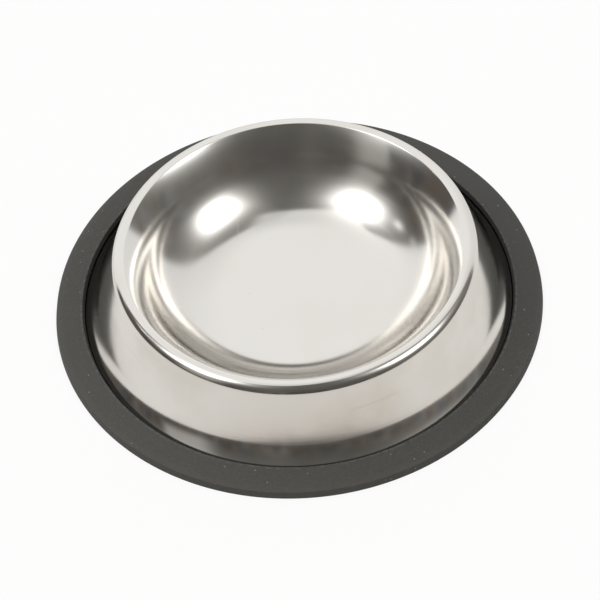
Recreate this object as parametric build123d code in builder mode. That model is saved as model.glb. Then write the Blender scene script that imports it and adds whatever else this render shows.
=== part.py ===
"""Pet bowl: a pressed steel bowl whose foot flange sits in the slit of a rubber base ring.

Millimetres, +Z up. The origin is on the table, on the axis of the bowl.
"""

import os
from math import cos, radians, sin

from build123d import *

os.makedirs("parts", exist_ok=True)

# Rim of the bowl
bowl_height = 39.5  # table to the crest of the rim
rim_radius = 83.1  # axis to the middle of the rolled rim
rim_roll = 5.2  # radius of the rolled rim
lip_radius = 1.2  # tight bend where the rim turns into the basin
lip_angle = 11.0  # slope of the rim where the tight bend starts

# Basin, slopes counted up from level
floor_height = 5.5  # table to the basin floor
corner_angle = 43.5  # slope where the wide bend round the floor gives way to the wall
wall_radius = 36.0  # hollow of the wall
wall_angle = 60.0  # steepest slope, where the hollow turns into the shoulder
shoulder_radius = 49.7  # swell of the wall below the rim
shoulder_angle = 42.0  # slope of the shoulder where it meets the lip

# Skirt, slopes counted down from level
skirt_turn = 9.4  # slow flare of the skirt
cove_turn = 20.7  # quicker flare of the cove at its foot
cove_radius = 31.2
foot_angle = 42.0  # slope that is left for the bend into the flange
bend_radius = 1.5
flange_width = 6.4
sheet = 0.6  # steel thickness

# Rubber ring
ring_width = 13.5  # inner wall to outer edge
ring_edge_height = 3.9
ring_inner_height = 6.9
ring_web = 1.2  # rubber under the flange
sole_ledge = 2.0  # how far that rubber runs in past the inner wall
edge_lean = 0.8  # how far the outer edge stands in from the sole
edge_round = 0.4
brow_lean = 0.5  # how far the brow stands out from the foot of the inner wall
brow_round = 0.8
sole_bevel = 0.3
fit_clearance = 0.3

# Slopes at the joins of the bowl's section
lip_slope = radians(lip_angle)
corner_slope = radians(corner_angle)
wall_slope = radians(wall_angle)
shoulder_slope = radians(shoulder_angle)
foot_slope = radians(foot_angle)
cove_slope = radians(foot_angle + cove_turn)
skirt_slope = radians(foot_angle + cove_turn + skirt_turn)

# The basin is stepped out from the rim inwards, and its wide bend fills what is left down to the floor
rim_height = bowl_height - rim_roll
lip_reach = rim_radius - (rim_roll - lip_radius) * sin(lip_slope) - lip_radius * sin(shoulder_slope)
lip_height = rim_height + (rim_roll - lip_radius) * cos(lip_slope) + lip_radius * cos(shoulder_slope)
shoulder_reach = lip_reach - shoulder_radius * (sin(wall_slope) - sin(shoulder_slope))
shoulder_height = lip_height - shoulder_radius * (cos(shoulder_slope) - cos(wall_slope))
wall_reach = shoulder_reach - wall_radius * (sin(wall_slope) - sin(corner_slope))
wall_height = shoulder_height - wall_radius * (cos(corner_slope) - cos(wall_slope))
corner_radius = (wall_height - floor_height) / (1 - cos(corner_slope))
floor_radius = wall_reach - corner_radius * sin(corner_slope)

# The skirt arc fills the height between rim and cove
skirt_top = rim_height + rim_roll * cos(skirt_slope)
cove_drop = cove_radius * (cos(foot_slope) - cos(cove_slope))
bend_drop = bend_radius * (1 - cos(foot_slope))
skirt_drop = skirt_top - cove_drop - bend_drop - ring_web - sheet
skirt_radius = skirt_drop / (cos(cove_slope) - cos(skirt_slope))

# The bowl's upper surface runs from the axis out over the rim to the flange, the steel lies below it
with BuildPart() as steel_bowl:
    with BuildSketch(Plane.XZ):
        with BuildLine():
            floor = Line((0, floor_height), (floor_radius, floor_height))
            corner = JernArc(floor @ 1, floor % 1, corner_radius, corner_angle)
            wall = JernArc(corner @ 1, corner % 1, wall_radius, wall_angle - corner_angle)
            shoulder = JernArc(wall @ 1, wall % 1, shoulder_radius, shoulder_angle - wall_angle)
            lip = JernArc(shoulder @ 1, shoulder % 1, lip_radius, lip_angle - shoulder_angle)
            rim_turn = lip_angle + foot_angle + cove_turn + skirt_turn
            rim = JernArc(lip @ 1, lip % 1, rim_roll, -rim_turn)
            skirt = JernArc(rim @ 1, rim % 1, skirt_radius, skirt_turn)
            cove = JernArc(skirt @ 1, skirt % 1, cove_radius, cove_turn)
            bend = JernArc(cove @ 1, cove % 1, bend_radius, foot_angle)
            flange = Line(bend @ 1, bend @ 1 + (flange_width, 0))
            offset(amount=sheet, side=Side.RIGHT)
        make_face()
    revolve(axis=Axis.Z)

# The ring's slit takes the flange, its inner wall stands clear of the bend
ring_inner = (bend @ 1).X + fit_clearance
ring_outer = ring_inner + ring_width
slit_end = (flange @ 1).X + fit_clearance
slit_top = ring_web + sheet + fit_clearance
sole_inner = ring_inner - sole_ledge

with BuildPart() as rubber_ring:
    with BuildSketch(Plane.XZ) as section:
        with BuildLine():
            Polyline(
                (sole_inner, 0),
                (ring_outer, 0),
                (ring_outer - edge_lean, ring_edge_height),
                (ring_inner + brow_lean, ring_inner_height),
                (ring_inner, slit_top),
                (slit_end, slit_top),
                (slit_end, ring_web),
                (sole_inner, ring_web),
                close=True,
            )
        make_face()
        fillet(section.vertices().sort_by(Axis.Y)[-1], brow_round)
        fillet(section.vertices().group_by(Axis.X)[-2], edge_round)
        chamfer(section.vertices().group_by(Axis.X)[-1], sole_bevel)
    revolve(axis=Axis.Z)

steel_bowl.part.label = "steel_bowl"
rubber_ring.part.label = "rubber_ring"
export_step(steel_bowl.part, "parts/steel_bowl.step")
export_step(rubber_ring.part, "parts/rubber_ring.step")
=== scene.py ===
"""Steel pet bowl in a rubber base ring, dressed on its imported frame.

Laid out as an add-on and run as a script. Metres, +Z up, the camera stands on the -Y side.
"""

from collections import namedtuple
from math import cos, pi, radians, sin, tan

import bmesh
import bpy
from bpy.props import FloatProperty, FloatVectorProperty, PointerProperty
from mathutils import Matrix, Vector


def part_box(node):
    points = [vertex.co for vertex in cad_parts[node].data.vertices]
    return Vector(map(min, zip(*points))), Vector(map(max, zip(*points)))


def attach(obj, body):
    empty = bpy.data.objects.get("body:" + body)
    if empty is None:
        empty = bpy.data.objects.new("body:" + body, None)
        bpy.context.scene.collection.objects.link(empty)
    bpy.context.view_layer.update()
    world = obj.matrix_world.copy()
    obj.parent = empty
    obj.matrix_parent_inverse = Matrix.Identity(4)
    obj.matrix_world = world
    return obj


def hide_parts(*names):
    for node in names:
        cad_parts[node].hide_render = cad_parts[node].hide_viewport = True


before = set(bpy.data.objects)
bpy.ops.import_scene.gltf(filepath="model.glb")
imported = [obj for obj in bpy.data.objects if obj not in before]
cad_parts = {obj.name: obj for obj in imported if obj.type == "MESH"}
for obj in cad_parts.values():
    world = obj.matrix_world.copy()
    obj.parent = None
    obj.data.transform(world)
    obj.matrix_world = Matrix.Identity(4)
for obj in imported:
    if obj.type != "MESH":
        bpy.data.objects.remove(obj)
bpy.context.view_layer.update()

bl_info = {
    "name": "Pet bowl",
    "version": (1, 0, 0),
    "blender": (4, 5, 0),
    "location": "3D View > Sidebar > Pet bowl",
    "description": "Builds a pressed steel pet bowl in its rubber base ring, on a studio table",
    "category": "Object",
}

STEEL_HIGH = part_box("steel_bowl")[1]
RING_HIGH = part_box("rubber_ring")[1]
MM = 0.001
SEGMENTS = 224  # steps of a full turn about the axis
SMOOTH_LIMIT = radians(32)  # edges that bend less than this are shaded smooth
BOX_SLACK = 0.3 * MM  # how far a piece may pass the box of its node
SAME_PLACE = 0.01 * MM  # points nearer than this count as one when an edge is looked up
WELD = 0.001 * MM  # points nearer than this are merged
WHITE = (1.0, 1.0, 1.0, 1.0)

# Soft steps in the steel and the rubber: distances from the axis, or noise values
WALL_FROM = (0.050, 0.056)
WALL_TO = (0.074, 0.078)
HANDS_FROM = (0.080, 0.090)
FLOOR_SCRATCHES_TO = 0.076
FILM_SPAN = (0.42, 0.75)
SPECKLE_SPAN = (0.34, 0.68)
PATCH_SPAN = (0.44, 0.60)

# Soft steps in the surroundings: bearings from the camera's side and heights above the horizon, in degrees
ROOM_LEFT = (-122.5, -119.5)
ROOM_RIGHT = (110.5, 115.5)
ROOM_LEAN = 0.2
BRIGHTER_RIGHT = (26, 60)
BRIGHTER_UP = (8, 55)
LOW_THINGS = (12, 30)
WALL_LEFT = (-118, -115)
WALL_RIGHT = (-97, -92)
WALL_TOP = (24, 36)
PANEL_LEFT = (-71, -68)
PANEL_RIGHT = (-54, -42)
PANEL_FOOT = (4, 18)
PANEL_TOP = (36, 48)
PAPER_DIM_UP = (66, 82)
PAPER_DIM_RIGHT = (118, 172)

# Paper roll overhead, in the ray's slopes
ROLL_LEFT = (-0.52, -0.48)
ROLL_RIGHT = (0.16, 0.30)
ROLL_NEAR = (-0.07, -0.01)
ROLL_LOWEST = 0.3

# Camera
STAND = Vector((0, -0.66789, 0.79269))
AIM = Vector((0.00084, -0.00211, 0))
SHIFT = (-0.0008, 0.0015)
SENSOR_WIDTH = 36.0

Lamp = namedtuple("Lamp", "azimuth elevation lean half edge glow")  # all but the glow in degrees
LEFT_LAMP = Lamp(-79, 55, 20, 10, 8.0, 0.6)
RIGHT_LAMP = Lamp(75, 50, -20, 10, 8.0, 0.5)
LARGE_SPOT = Lamp(-105, 36, 15, 2.6, 1.2, 0.0)
SMALL_SPOT = Lamp(-118, 26, 15, 1.8, 1.0, 0.0)
GLOW_FALL = 26.0  # how fast the glow round a lamp falls off


def length(name, text, millimetres):
    """A size property, its default given in millimetres."""
    default = millimetres * MM
    return FloatProperty(name=name, description=text, default=default, min=0, precision=5, unit="LENGTH")


def angle(name, text, degrees):
    """An angle property, its default given in degrees."""
    return FloatProperty(name=name, description=text, default=radians(degrees), subtype="ANGLE")


def share(name, text, default, top=1.0):
    """A plain number from nought to top."""
    return FloatProperty(name=name, description=text, default=default, min=0, max=top, subtype="FACTOR")


def colour(name, text, default):
    """A colour property."""
    return FloatVectorProperty(
        name=name, description=text, default=default, size=3, min=0, max=1, subtype="COLOR"
    )


class BowlSizes(bpy.types.PropertyGroup):
    """Section of the pressed bowl, from the middle of its floor out to the flange."""

    height: length("Height", "Table to the crest of the rim", STEEL_HIGH.z / MM)
    rim_radius: length("Rim radius", "Axis to the middle of the rolled rim", 83.1)
    rim_roll: length("Rim roll", "Radius of the rolled rim", 5.2)
    lip_radius: length("Lip radius", "Tight bend where the rim turns into the basin", 1.2)
    lip_angle: angle("Lip angle", "Slope of the rim where the tight bend starts", 11.0)
    floor_height: length("Floor height", "Table to the basin floor", 5.5)
    corner_angle: angle("Corner angle", "Slope where the bend round the floor gives way to the wall", 43.5)
    wall_radius: length("Wall radius", "Hollow of the wall", 36.0)
    wall_angle: angle("Wall angle", "Steepest slope, where the hollow turns into the shoulder", 60.0)
    shoulder_radius: length("Shoulder radius", "Swell of the wall below the rim", 49.7)
    shoulder_angle: angle("Shoulder angle", "Slope of the shoulder where it meets the lip", 42.0)
    skirt_turn: angle("Skirt turn", "Slow flare of the skirt", 9.1)
    cove_turn: angle("Cove turn", "Quicker flare of the cove at its foot", 22.7)
    cove_radius: length("Cove radius", "Radius of the cove", 28.5)
    foot_angle: angle("Foot angle", "Slope that is left for the bend into the flange", 40.0)
    bend_radius: length("Bend radius", "Bend into the flange", 1.5)
    foot_height: length("Foot height", "Table to the underside of the flange", 2.0)
    flange_reach: length("Flange reach", "Axis to the edge of the flange", STEEL_HIGH.x / MM)
    sheet: length("Sheet", "Steel thickness", 0.6)


class RingSizes(bpy.types.PropertyGroup):
    """Section of the rubber ring."""

    radius: length("Radius", "Axis to the widest point, just above the sole", RING_HIGH.x / MM)
    width: length("Width", "Foot of the inner wall to the widest point", 14.58)
    edge_height: length("Edge height", "Table to the outer edge", 3.9)
    edge_lean: length("Edge lean", "How far the outer edge stands in from the widest point", 0.74)
    inner_height: length("Inner height", "Table to the brow of the inner wall", 5.9)
    brow_lean: length("Brow lean", "How far the brow stands out from the foot of the inner wall", 0.8)
    web: length("Web", "Rubber under the flange", 2.0)
    slit: length("Slit", "Height of the slit that takes the flange", 1.3)
    slit_depth: length("Slit depth", "Inner wall to the end of the slit", 7.54)
    sole_ledge: length("Sole ledge", "How far the web runs in past the inner wall", 0.86)
    edge_round: length("Edge round", "Round of the outer edge", 0.4)
    brow_round: length("Brow round", "Round of the inner brow", 0.8)
    sole_bevel: length("Sole bevel", "Bevel under the widest point", 0.3)


class Finishes(bpy.types.PropertyGroup):
    """Colours and polish."""

    steel: colour("Steel", "Polished steel", (0.705, 0.685, 0.652))
    steel_warm: colour("Handled steel", "Steel under a thin film of handling", (0.615, 0.575, 0.52))
    polish: share("Polish", "Roughness of the cleanest steel", 0.09)
    rubber: colour("Rubber", "Matte moulded rubber", (0.0535, 0.0522, 0.0470))
    # Painted shade: near-black rubber for the inner wall under the brow, standing in for the shadow down in
    # the groove by the steel
    rubber_groove_shade: colour("Clean rubber", "Rubber that no dust or wear has reached", (0.011, 0.011, 0.010))
    # Also the lighter end of the painted light and shade that changes round the ring
    rubber_worn_and_lit: colour("Worn rubber", "Rubber rubbed grey along its edges", (0.128, 0.1235, 0.1125))
    dust: colour("Dust", "Specks of dust and lint", (0.42, 0.41, 0.39))


class StageLook(bpy.types.PropertyGroup):
    """Table, surroundings and camera."""

    table: colour("Table", "White table", (0.97, 0.965, 0.945))
    table_far: colour("Far table", "Table towards the camera, away from the lamps", (0.735, 0.68, 0.635))
    table_width: length("Table width", "Left edge to right edge", 3000)
    table_depth: length("Table depth", "Near edge to far edge", 4000)
    table_left: length("Table left", "Bowl to the left edge", 750)
    table_gap: length("Table gap", "Hair of air under the sole, so that the two never share a plane", 0.02)
    table_near: length("Table near", "Bowl to the near edge", 790)
    overhead: share("Overhead", "Brightness of the white screens", 1.11, 4.0)
    room: colour("Room", "Unlit room behind the camera", (0.105, 0.102, 0.096))
    room_brown: colour("Brown things", "Wood and card low in the room", (0.118, 0.100, 0.083))
    room_blue: colour("Blue things", "Cloth and metal low in the room", (0.096, 0.101, 0.107))
    side_wall: colour("Side wall", "Warmer wall beside the backdrop", (0.125, 0.108, 0.092))
    panel: colour("Panel", "Pale panel under the left lamp", (0.44, 0.432, 0.415))
    lamp: share("Lamp", "Brightness of the two soft lamps", 3.0, 20.0)
    lens: FloatProperty(name="Lens", description="Focal length of the camera", default=126.0, unit="CAMERA")
    roll: angle("Roll", "Lean of the camera to its right", 5.054)


class PetBowl(bpy.types.PropertyGroup):
    """Everything that the panel shows."""

    bowl: PointerProperty(type=BowlSizes)
    ring: PointerProperty(type=RingSizes)
    finish: PointerProperty(type=Finishes)
    stage: PointerProperty(type=StageLook)


class Wire:
    """An output socket that does sums with numbers and with other outputs."""

    def __init__(self, board, socket):
        self.board = board
        self.socket = socket

    def sum(self, operation, first, second=0.0):
        return self.board.add("ShaderNodeMath", {"operation": operation}, {0: first, 1: second})

    def __add__(self, other):
        return self.sum("ADD", self, other)

    def __radd__(self, other):
        return self.sum("ADD", other, self)

    def __sub__(self, other):
        return self.sum("SUBTRACT", self, other)

    def __rsub__(self, other):
        return self.sum("SUBTRACT", other, self)

    def __mul__(self, other):
        return self.sum("MULTIPLY", self, other)

    def __rmul__(self, other):
        return self.sum("MULTIPLY", other, self)

    def __truediv__(self, other):
        return self.sum("DIVIDE", self, other)

    def __rtruediv__(self, other):
        return self.sum("DIVIDE", other, self)

    def __pow__(self, other):
        return self.sum("POWER", self, other)

    def __rpow__(self, other):
        return self.sum("POWER", other, self)

    def __abs__(self):
        return self.sum("ABSOLUTE", self)

    def __lt__(self, other):
        return self.sum("LESS_THAN", self, other)

    def __gt__(self, other):
        return self.sum("GREATER_THAN", self, other)


class Board:
    """The nodes of one material or of the world."""

    def __init__(self, owner):
        owner.use_nodes = True
        self.tree = owner.node_tree
        self.tree.nodes.clear()

    def add(self, kind, settings=None, inputs=None, out=0):
        """A node with its settings made and its sockets filled, as the wire of one output."""
        made = self.tree.nodes.new(kind)
        for key, value in (settings or {}).items():
            setattr(made, key, value)
        for key, value in (inputs or {}).items():
            if isinstance(value, Wire):
                self.tree.links.new(value.socket, made.inputs[key])
            else:
                made.inputs[key].default_value = value
        return Wire(self, made.outputs[out]) if made.outputs else None

    def blend(self, factor, first, second):
        """One colour laid over another."""
        return self.add("ShaderNodeMix", {"data_type": "RGBA"}, {0: factor, 6: first, 7: second}, out=2)

    def scaled(self, vector, amount):
        """A vector or colour times a number."""
        return self.add("ShaderNodeVectorMath", {"operation": "SCALE"}, {0: vector, "Scale": amount})

    def dot(self, vector, fixed):
        """How far a vector points along a fixed one."""
        settings = {"operation": "DOT_PRODUCT"}
        return self.add("ShaderNodeVectorMath", settings, {0: vector, 1: fixed}, out="Value")

    def larger(self, first, second):
        """The larger of two values."""
        return self.add("ShaderNodeMath", {"operation": "MAXIMUM"}, {0: first, 1: second})

    def bearing(self, across, ahead):
        """The angle of a direction, in radians."""
        return self.add("ShaderNodeMath", {"operation": "ARCTAN2"}, {0: across, 1: ahead})

    def part(self, wire, name):
        """Another output of the node that a wire comes from."""
        return Wire(self, wire.socket.node.outputs[name])

    def step(self, value, low, high):
        """A soft step from nought at low to one at high."""
        reach = {"Value": value, "From Min": low, "From Max": high}
        return self.add("ShaderNodeMapRange", {"interpolation_type": "SMOOTHSTEP"}, reach)

    def noise(self, vector, scale, detail=2.0, w=None, rough=0.5):
        """Cloudy noise, with a fourth coordinate where one is given."""
        inputs = {"Vector": vector, "Scale": scale, "Detail": detail, "Roughness": rough}
        if w is not None:
            inputs["W"] = w
        return self.add("ShaderNodeTexNoise", {"noise_dimensions": "3D" if w is None else "4D"}, inputs)

    def round_coordinates(self):
        """Object coordinates, the distance from the axis, the two parts of the bearing, and the height."""
        place = self.add("ShaderNodeTexCoord", out="Object")
        x = self.add("ShaderNodeSeparateXYZ", None, {0: place})
        y = self.part(x, 1)
        z = self.part(x, 2)
        reach = (x * x + y * y + 1e-9) ** 0.5
        return place, reach, x / reach, y / reach, z

    def pack(self, x, y, z):
        """Three values as one vector."""
        return self.add("ShaderNodeCombineXYZ", None, {0: x, 1: y, 2: z})

    def specks(self, vector, scale, size, keep):
        """Round specks in some of the cells of a grid of that scale."""
        cell = self.add("ShaderNodeTexVoronoi", None, {"Vector": vector, "Scale": scale})
        chance = self.add("ShaderNodeSeparateColor", None, {0: self.part(cell, "Color")})
        return (1 - self.step(cell, size * 0.5, size)) * (chance < keep)

    def strokes(self, vector, keep, width, half_length):
        """One fine stroke along Y in some of the unit cells of that plane."""
        settings = {"voronoi_dimensions": "2D"}
        cell = self.add("ShaderNodeTexVoronoi", settings, {"Vector": vector, "Scale": 1.0})
        chance = self.add("ShaderNodeSeparateColor", None, {0: self.part(cell, "Color")})
        middle = self.part(cell, "Position")
        away = self.add("ShaderNodeVectorMath", {"operation": "SUBTRACT"}, {0: vector, 1: middle})
        across = self.add("ShaderNodeSeparateXYZ", None, {0: away})
        along = self.part(across, 1)
        hair = 1 - self.step(abs(across), width * 0.4, width)
        return hair * (1 - self.step(abs(along), half_length * 0.6, half_length)) * (chance < keep)

    def finish_surface(self, inputs, bump=None, depth=0.0, strength=1.0):
        """The shader and the output of a material."""
        if bump is not None:
            relief = {"Height": bump, "Distance": depth, "Strength": strength}
            inputs["Normal"] = self.add("ShaderNodeBump", None, relief)
        shader = self.add("ShaderNodeBsdfPrincipled", None, inputs)
        self.add("ShaderNodeOutputMaterial", None, {"Surface": shader})


def opaque(tint):
    """A colour property as a shader colour."""
    return (*tint, 1.0)


def steel_finish(look):
    """Bright polished steel with turning lines, hairline scratches, a film of handling and dust."""
    coarse, fine = 900, 3200  # turning lines to the metre
    made = bpy.data.materials.new("bright_steel")
    board = Board(made)
    place, reach, bearing_x, bearing_y, z = board.round_coordinates()
    coarse_turn = board.pack(reach * coarse, bearing_x * 5, bearing_y * 5)
    lines = board.noise(coarse_turn, 1.0, detail=3.0, w=z * coarse, rough=0.6)
    fine_turn = board.pack(reach * fine, bearing_x * 14, bearing_y * 14)
    fine_lines = board.noise(fine_turn, 1.0, detail=1.0, w=z * fine)
    film = board.step(board.noise(place, 22.0, detail=3.0), *FILM_SPAN)
    around = board.bearing(bearing_y, bearing_x)
    arcs = board.strokes(board.pack(reach * 420 + z * 260, around * 2.6, 0.0), 0.17, 0.09, 0.42)
    slanted = {"Vector": place, "Rotation": (0, 0, 0.7), "Scale": (330, 42, 1)}
    straight = board.strokes(board.add("ShaderNodeMapping", None, slanted), 0.03, 0.08, 0.45)
    scratches = board.larger(arcs, straight * (reach < FLOOR_SCRATCHES_TO))
    dust = board.specks(place, 210.0, 0.07, 0.05)
    handled = film * (0.15 + 0.6 * board.step(reach, *HANDS_FROM))
    tint = board.blend(handled, opaque(look.steel), opaque(look.steel_warm))
    tint = board.blend(dust * 0.8, tint, opaque(look.dust))
    wall = board.step(reach, *WALL_FROM) * (1 - board.step(reach, *WALL_TO))
    rough = look.polish + wall * 0.05 + lines * 0.05 + film * 0.05 + scratches * 0.07 + dust * 0.4
    board.finish_surface(
        {"Base Color": tint, "Metallic": 1 - dust * 0.7, "Roughness": rough},
        bump=lines * 0.6 + fine_lines * 0.5 - scratches * 0.25,
        depth=0.03 * MM,
        strength=0.22,
    )
    return made


def rubber_finish(look, ring):
    """Matte black rubber with a fine grain, mould flow, dust and grey wear along its edges, painted shade on
    the inner wall down in the groove, and painted light and shade round the ring, lighter to the front left
    and darker to the back right.
    """
    flow_lines = 700  # mould flow lines to the metre
    made = bpy.data.materials.new("matte_rubber")
    board = Board(made)
    place, reach, bearing_x, bearing_y, z = board.round_coordinates()
    grain = board.noise(place, 1500.0, detail=3.0, rough=0.65)
    speckle = board.step(board.noise(place, 780.0, detail=3.0, rough=0.7), *SPECKLE_SPAN)
    mottle = board.noise(place, 60.0, detail=4.0)
    flow_turn = board.pack(reach * flow_lines, bearing_x * 6, bearing_y * 6)
    flow = board.noise(flow_turn, 1.0, detail=2.0, w=z * flow_lines)
    edge = ring.radius - ring.edge_lean
    brow = ring.radius - ring.width + ring.brow_lean
    near_brow = 1 - board.step(abs(reach - (brow + 0.5 * MM)), 0.3 * MM, 1.0 * MM)
    near_edge = board.step(reach, edge - 4.5 * MM, edge - 0.4 * MM)
    upper = board.step(z, ring.edge_height * 0.92, ring.edge_height * 0.99)
    patchy = board.step(board.noise(place, 520.0, detail=2.0), *PATCH_SPAN)
    wear = (near_brow * 0.5 * patchy + near_edge * 0.12) * upper
    dust = board.specks(place, 260.0, 0.10, 0.45)
    lint = board.specks(place, 700.0, 0.16, 0.20)
    # Painted light and shade: the rubber is made lighter towards the front left and darker towards the back
    # right
    painted_side_light = bearing_x * -0.155 - bearing_y * 0.22 - 0.08
    # Grey wear and random tone, plus the painted light and shade by bearing
    grey_wear_and_painted_light = wear + painted_side_light + mottle * 0.18 + flow * 0.08 + speckle * 0.16
    # Painted shade: the inner wall under the brow, down in the groove by the steel, is made near black to
    # stand in for its shadow
    painted_groove_shade = 1 - board.step(reach, brow - 0.2 * MM, brow + 0.4 * MM)
    tint = board.blend(grey_wear_and_painted_light, opaque(look.rubber), opaque(look.rubber_worn_and_lit))
    tint = board.blend(painted_groove_shade, tint, opaque(look.rubber_groove_shade))
    tint = board.blend(dust * 0.75 + lint * 0.35, tint, opaque(look.dust))
    rough = 0.56 + grain * 0.12 + mottle * 0.08 + dust * 0.2
    board.finish_surface(
        {"Base Color": tint, "Roughness": rough, "Specular IOR Level": 0.4},
        bump=grain * 0.7 + flow * 0.5 + dust * 0.8,
        depth=0.12 * MM,
        strength=0.35,
    )
    return made


Stretch = namedtuple("Stretch", "radius amount steps")


class Pen:
    """Draws a chain of edges in the XZ plane. A turn to the left is positive."""

    def __init__(self, bm, x, z, heading=0.0):
        self.bm = bm
        self.heading = heading
        self.tip = bm.verts.new((x, 0, z))

    def run(self, amount):
        """A straight edge ahead."""
        drawn = bmesh.ops.extrude_vert_indiv(self.bm, verts=[self.tip])
        self.tip = drawn["verts"][0]
        ahead = Vector((cos(self.heading), 0, sin(self.heading)))
        bmesh.ops.translate(self.bm, verts=[self.tip], vec=ahead * amount)

    def swing(self, radius, turn, steps):
        """An arc that leaves the chain without a kink."""
        side = self.heading + (pi / 2 if turn > 0 else -pi / 2)
        centre = self.tip.co + Vector((cos(side), 0, sin(side))) * radius
        swept = bmesh.ops.spin(
            self.bm, geom=[self.tip], cent=centre, axis=(0, -1, 0), angle=turn, steps=steps
        )
        self.tip = [v for v in swept["geom_last"] if isinstance(v, bmesh.types.BMVert)][0]
        self.heading += turn

    def draw(self, stretch):
        """A run where the stretch has no radius, and an arc where it has one."""
        if stretch.radius is None:
            self.run(stretch.amount)
        else:
            self.swing(stretch.radius, stretch.amount, stretch.steps)

    def reach(self, x, z):
        """A straight edge to a point."""
        drawn = bmesh.ops.extrude_vert_indiv(self.bm, verts=[self.tip])
        self.tip = drawn["verts"][0]
        self.tip.co = (x, 0, z)


def turn_on_axis(bm):
    """Spin a closed section about the axis and clean the result."""
    geometry = bm.verts[:] + bm.edges[:]
    bmesh.ops.spin(
        bm, geom=geometry, cent=(0, 0, 0), axis=(0, 0, 1), angle=2 * pi, steps=SEGMENTS, use_merge=True
    )
    bmesh.ops.remove_doubles(bm, verts=bm.verts[:], dist=WELD)
    bmesh.ops.recalc_face_normals(bm, faces=bm.faces[:])


def finish_piece(bm, name, node, body, material):
    """Make the object, check it against its frame node, and put it on its body."""
    for face in bm.faces:
        face.smooth = True
    for edge in bm.edges:
        edge.smooth = edge.calc_face_angle(0) < SMOOTH_LIMIT
    mesh = bpy.data.meshes.new(name)
    bm.to_mesh(mesh)
    bm.free()
    mesh.materials.append(material)
    piece = bpy.data.objects.new(name, mesh)
    bpy.context.scene.collection.objects.link(piece)
    low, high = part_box(node)
    least, most = piece.bound_box[0], piece.bound_box[6]
    for axis in range(3):
        if least[axis] < low[axis] - BOX_SLACK or most[axis] > high[axis] + BOX_SLACK:
            raise RuntimeError(f"{name} leaves the box of {node} along axis {axis}")
    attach(piece, body)
    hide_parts(node)
    return piece


def bowl_section(size):
    """Upper side of the bowl's section, as the stretches from the axis out to the flange's edge."""
    cove_slope = size.foot_angle + size.cove_turn
    skirt_slope = cove_slope + size.skirt_turn
    rim_height = size.height - size.rim_roll
    inside = size.rim_roll - size.lip_radius
    floor_radius = size.rim_radius - inside * sin(size.lip_angle) - size.lip_radius * sin(size.shoulder_angle)
    floor_radius -= size.shoulder_radius * (sin(size.wall_angle) - sin(size.shoulder_angle))
    floor_radius -= size.wall_radius * (sin(size.wall_angle) - sin(size.corner_angle))
    wall_height = rim_height + inside * cos(size.lip_angle) + size.lip_radius * cos(size.shoulder_angle)
    wall_height -= size.shoulder_radius * (cos(size.shoulder_angle) - cos(size.wall_angle))
    wall_height -= size.wall_radius * (cos(size.corner_angle) - cos(size.wall_angle))
    corner_radius = (wall_height - size.floor_height) / (1 - cos(size.corner_angle))
    floor_radius -= corner_radius * sin(size.corner_angle)
    skirt_top = rim_height + size.rim_roll * cos(skirt_slope)
    cove_drop = size.cove_radius * (cos(size.foot_angle) - cos(cove_slope))
    bend_drop = size.bend_radius * (1 - cos(size.foot_angle))
    skirt_drop = skirt_top - cove_drop - bend_drop - size.foot_height - size.sheet
    skirt_radius = skirt_drop / (cos(cove_slope) - cos(skirt_slope))
    bend_end = size.rim_radius + size.rim_roll * sin(skirt_slope)
    bend_end += skirt_radius * (sin(skirt_slope) - sin(cove_slope))
    bend_end += size.cove_radius * (sin(cove_slope) - sin(size.foot_angle))
    bend_end += size.bend_radius * sin(size.foot_angle)
    return [
        Stretch(None, floor_radius, 1),
        Stretch(corner_radius, size.corner_angle, 24),
        Stretch(size.wall_radius, size.wall_angle - size.corner_angle, 14),
        Stretch(size.shoulder_radius, size.shoulder_angle - size.wall_angle, 16),
        Stretch(size.lip_radius, size.lip_angle - size.shoulder_angle, 8),
        Stretch(size.rim_roll, -(size.lip_angle + skirt_slope), 32),
        Stretch(skirt_radius, size.skirt_turn, 16),
        Stretch(size.cove_radius, size.cove_turn, 16),
        Stretch(size.bend_radius, size.foot_angle, 8),
        Stretch(None, size.flange_reach - bend_end, 1),
    ]


class PETBOWL_OT_steel_bowl(bpy.types.Operator):
    """Press the bowl: basin, rolled rim, skirt, cove and flange in one sheet"""

    bl_idname = "petbowl.steel_bowl"
    bl_label = "Steel bowl"

    def execute(self, context):
        size = context.scene.pet_bowl.bowl
        bm = bmesh.new()
        section = bowl_section(size)
        pen = Pen(bm, 0, size.floor_height)
        for stretch in section:
            pen.draw(stretch)
        pen.heading -= pi / 2
        pen.run(size.sheet)
        pen.heading -= pi / 2
        for radius, amount, steps in reversed(section):
            if radius is None:
                pen.run(amount)
            else:
                pen.swing(radius + (size.sheet if amount > 0 else -size.sheet), -amount, steps)
        turn_on_axis(bm)
        finish = steel_finish(context.scene.pet_bowl.finish)
        finish_piece(bm, "bowl_shell", "steel_bowl", "bowl", finish)
        return {"FINISHED"}


def round_over(bm, x, z, radius, segments):
    """Round the edge that a point of the section leaves when it is turned."""

    def there(point):
        return abs(point.xy.length - x) < SAME_PLACE and abs(point.z - z) < SAME_PLACE

    loop = [edge for edge in bm.edges if all(there(vert.co) for vert in edge.verts)]
    bmesh.ops.bevel(
        bm,
        geom=loop,
        offset=radius * tan(loop[0].calc_face_angle() / 2),
        offset_type="OFFSET",
        segments=segments,
        profile=0.5,
        affect="EDGES",
        material=-1,
    )


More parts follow.
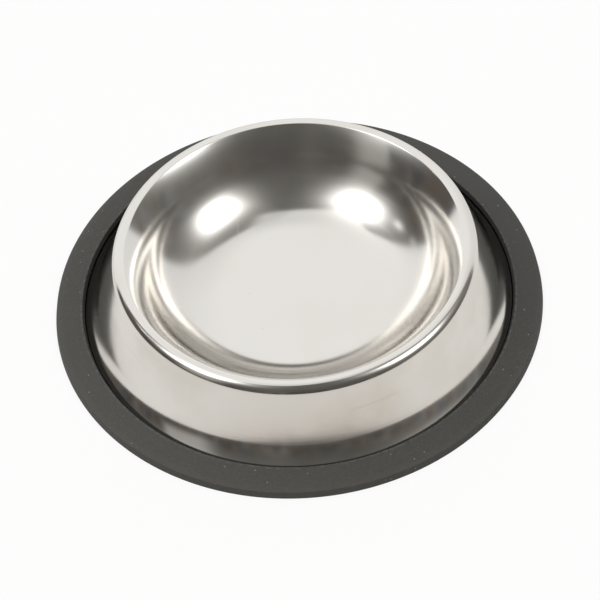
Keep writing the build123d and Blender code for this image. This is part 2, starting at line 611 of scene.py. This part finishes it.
class PETBOWL_OT_rubber_ring(bpy.types.Operator):
    """Mould the ring with the slit that takes the bowl's flange"""

    bl_idname = "petbowl.rubber_ring"
    bl_label = "Rubber ring"

    def execute(self, context):
        size = context.scene.pet_bowl.ring
        inner = size.radius - size.width
        sole_inner = inner - size.sole_ledge
        slit_end = inner + size.slit_depth
        slit_top = size.web + size.slit
        bm = bmesh.new()
        pen = Pen(bm, sole_inner, 0)
        first = pen.tip
        edge = size.radius - size.edge_lean
        brow = inner + size.brow_lean
        pen.reach(size.radius - size.sole_bevel, 0)
        pen.reach(size.radius, size.sole_bevel)
        pen.reach(edge, size.edge_height)
        pen.reach(brow, size.inner_height)
        pen.reach(inner, slit_top)
        pen.reach(slit_end, slit_top)
        pen.reach(slit_end, size.web)
        pen.reach(sole_inner, size.web)
        bm.edges.new((pen.tip, first))
        turn_on_axis(bm)
        round_over(bm, edge, size.edge_height, size.edge_round, 4)
        round_over(bm, brow, size.inner_height, size.brow_round, 8)
        finish = rubber_finish(context.scene.pet_bowl.finish, size)
        finish_piece(bm, "base_ring", "rubber_ring", "ring", finish)
        return {"FINISHED"}


def soft_lamp(board, ray, lamp):
    """A far square lamp with soft edges and a glow round it."""
    a, e, t = radians(lamp.azimuth), radians(lamp.elevation), radians(lamp.lean)
    facing = Vector((sin(a) * cos(e), -cos(a) * cos(e), sin(e)))
    across = Vector((cos(a), sin(a), 0))
    upward = across.cross(facing) * -1
    wide = across * cos(t) + upward * sin(t)
    high = upward * cos(t) - across * sin(t)
    ahead = board.larger(board.dot(ray, facing), 0.01)
    u = abs(board.dot(ray, wide) / ahead)
    v = abs(board.dot(ray, high) / ahead)
    low, top = tan(radians(lamp.half - lamp.edge)), tan(radians(lamp.half + lamp.edge))
    return (1 - board.step(u, low, top)) * (1 - board.step(v, low, top)) + lamp.glow * ahead**GLOW_FALL


def studio_world(look):
    """A paper backdrop that hangs from a roll overhead, the unlit room round it, a panel and two lamps."""
    world = bpy.data.worlds.new("studio")
    bpy.context.scene.world = world
    board = Board(world)
    ray = board.add("ShaderNodeTexCoord", out="Generated")
    x = board.add("ShaderNodeSeparateXYZ", None, {0: ray})
    y = board.part(x, 1)
    z = board.part(x, 2)
    azimuth = board.bearing(x, 0 - y) * (180 / pi)
    elevation = board.add("ShaderNodeMath", {"operation": "ARCSINE"}, {0: z}) * (180 / pi)
    height = board.larger(z, 0.02)
    roll = board.step(x / height, *ROLL_LEFT) * (1 - board.step(x / height, *ROLL_RIGHT))
    roll = roll * board.step(y / height, *ROLL_NEAR) * (z > ROLL_LOWEST)
    room = board.step(azimuth, *ROOM_LEFT)
    room = room * (1 - board.step(azimuth - elevation * ROOM_LEAN, *ROOM_RIGHT)) * (1 - roll)
    paper = 1 - 0.18 * board.step(elevation, *PAPER_DIM_UP)
    paper = paper - 0.14 * (azimuth > 0) * (1 - board.step(azimuth, *PAPER_DIM_RIGHT))
    white = board.scaled((look.overhead,) * 3, paper)
    bands = board.noise(board.pack(azimuth / 22, elevation / 70, 0.0), 1.0, detail=2.0)
    tone = 0.45 + bands * 1.1
    tone = tone + board.step(azimuth, *BRIGHTER_RIGHT) * 0.9 + board.step(elevation, *BRIGHTER_UP) * 0.35
    low = 1 - board.step(elevation, *LOW_THINGS)
    pieces = board.noise(board.pack(azimuth / 3.5, elevation / 40, 3.0), 1.0, detail=2.0)
    tone = tone * (1 + low * (pieces * 2.4 - 1.2))
    kind = board.step(board.noise(board.pack(azimuth / 5, elevation / 50, 8.0), 1.0), 0.44, 0.56)
    things = board.blend(kind, opaque(look.room_brown), opaque(look.room_blue))
    dark = board.scaled(board.blend(low * 0.7, opaque(look.room), things), tone)
    wall = board.step(azimuth, *WALL_LEFT) * (1 - board.step(azimuth, *WALL_RIGHT))
    wall = wall * (1 - board.step(elevation, *WALL_TOP))
    dark = board.blend(wall * 0.8, dark, opaque(look.side_wall))
    panel = board.step(azimuth, *PANEL_LEFT) * (1 - board.step(azimuth, *PANEL_RIGHT))
    panel = panel * board.step(elevation, *PANEL_FOOT) * (1 - board.step(elevation, *PANEL_TOP))
    dark = board.blend(panel, dark, opaque(look.panel))
    around = board.blend(room, white, dark)
    pair = soft_lamp(board, ray, LEFT_LAMP) + soft_lamp(board, ray, RIGHT_LAMP)
    spots = soft_lamp(board, ray, LARGE_SPOT) + 0.5 * soft_lamp(board, ray, SMALL_SPOT)
    lamps = board.scaled((1.0, 1.0, 1.0), (pair + spots * 0.6) * look.lamp)
    lit = board.add("ShaderNodeVectorMath", {"operation": "ADD"}, {0: around, 1: lamps})
    path = board.add("ShaderNodeLightPath", out="Is Camera Ray")
    seen = board.blend(path, lit, WHITE)
    glow = board.add("ShaderNodeBackground", None, {"Color": seen, "Strength": 1.0})
    board.add("ShaderNodeOutputWorld", None, {"Surface": glow})


def table_finish(look):
    """White table that takes the object's shadow, darkens towards the camera and is clear from below."""
    shown_white = 0.9  # share of plain white, the rest takes the light and the shadow
    fall_from, fall_over = 0.12, 0.15  # metres in front of the axis
    made = bpy.data.materials.new("white_table")
    board = Board(made)
    camera = board.add("ShaderNodeLightPath", out="Is Camera Ray")
    shown = board.larger(camera, board.part(camera, "Is Glossy Ray"))
    shown = board.larger(shown, board.part(camera, "Is Transmission Ray"))
    place = board.add("ShaderNodeTexCoord", out="Object")
    y = board.part(board.add("ShaderNodeSeparateXYZ", None, {0: place}), 1)
    away = board.larger(0 - y - fall_from, 0.0)
    fall = 1 - 2.718 ** (away / -fall_over)
    sheet = board.blend(fall, opaque(look.table), opaque(look.table_far))
    sheet = board.blend(camera, sheet, WHITE)
    paper = board.add("ShaderNodeBsdfDiffuse", None, {"Color": opaque(look.table)})
    bright = board.add("ShaderNodeEmission", None, {"Color": sheet, "Strength": 1.0})
    above = board.add("ShaderNodeMixShader", None, {0: shown * shown_white, 1: paper, 2: bright})
    back = board.add("ShaderNodeNewGeometry", out="Backfacing")
    clear = board.add("ShaderNodeBsdfTransparent")
    both = board.add("ShaderNodeMixShader", None, {0: back, 1: above, 2: clear})
    board.add("ShaderNodeOutputMaterial", None, {"Surface": both})
    return made


class PETBOWL_OT_stage(bpy.types.Operator):
    """Set up the table, the surroundings and the camera"""

    bl_idname = "petbowl.stage"
    bl_label = "Studio"

    def execute(self, context):
        look = context.scene.pet_bowl.stage
        context.scene.view_settings.view_transform = "Standard"
        studio_world(look)
        bm = bmesh.new()
        bmesh.ops.create_grid(bm, x_segments=1, y_segments=1, size=1.0)
        bmesh.ops.scale(bm, vec=(look.table_width / 2, look.table_depth / 2, 1), verts=bm.verts)
        right = look.table_width / 2 - look.table_left
        behind = look.table_depth / 2 - look.table_near
        bmesh.ops.translate(bm, vec=(right, behind, -look.table_gap), verts=bm.verts)
        mesh = bpy.data.meshes.new("table")
        bm.to_mesh(mesh)
        bm.free()
        mesh.materials.append(table_finish(look))
        table = bpy.data.objects.new("table", mesh)
        context.scene.collection.objects.link(table)
        camera_data = bpy.data.cameras.new("camera")
        camera_data.lens = look.lens
        camera_data.sensor_width = SENSOR_WIDTH
        camera_data.shift_x, camera_data.shift_y = SHIFT
        camera = bpy.data.objects.new("camera", camera_data)
        context.scene.collection.objects.link(camera)
        turned = (AIM - STAND).to_track_quat("-Z", "Y").to_matrix().to_4x4()
        camera.matrix_world = Matrix.Translation(STAND) @ turned @ Matrix.Rotation(-look.roll, 4, "Z")
        context.scene.camera = camera
        return {"FINISHED"}


class PETBOWL_PT_sidebar(bpy.types.Panel):
    """Sizes, finishes and the steps that build the bowl"""

    bl_label = "Pet bowl"
    bl_idname = "PETBOWL_PT_sidebar"
    bl_space_type = "VIEW_3D"
    bl_region_type = "UI"
    bl_category = "Pet bowl"

    def draw(self, context):
        settings = context.scene.pet_bowl
        for step in STEPS:
            self.layout.operator(step.bl_idname, text=step.bl_label)
        for title in ("bowl", "ring", "finish", "stage"):
            group = getattr(settings, title)
            box = self.layout.box()
            box.label(text=title.capitalize())
            for name in group.bl_rna.properties.keys():
                if name not in ("rna_type", "name"):
                    box.prop(group, name)


STEPS = (PETBOWL_OT_stage, PETBOWL_OT_steel_bowl, PETBOWL_OT_rubber_ring)
CLASSES = (BowlSizes, RingSizes, Finishes, StageLook, PetBowl, *STEPS, PETBOWL_PT_sidebar)


def register():
    for item in CLASSES:
        bpy.utils.register_class(item)
    bpy.types.Scene.pet_bowl = PointerProperty(type=PetBowl)


def unregister():
    del bpy.types.Scene.pet_bowl
    for item in reversed(CLASSES):
        bpy.utils.unregister_class(item)


def main():
    register()
    bpy.ops.petbowl.stage()
    bpy.ops.petbowl.steel_bowl()
    bpy.ops.petbowl.rubber_ring()


if __name__ == "__main__":
    main()
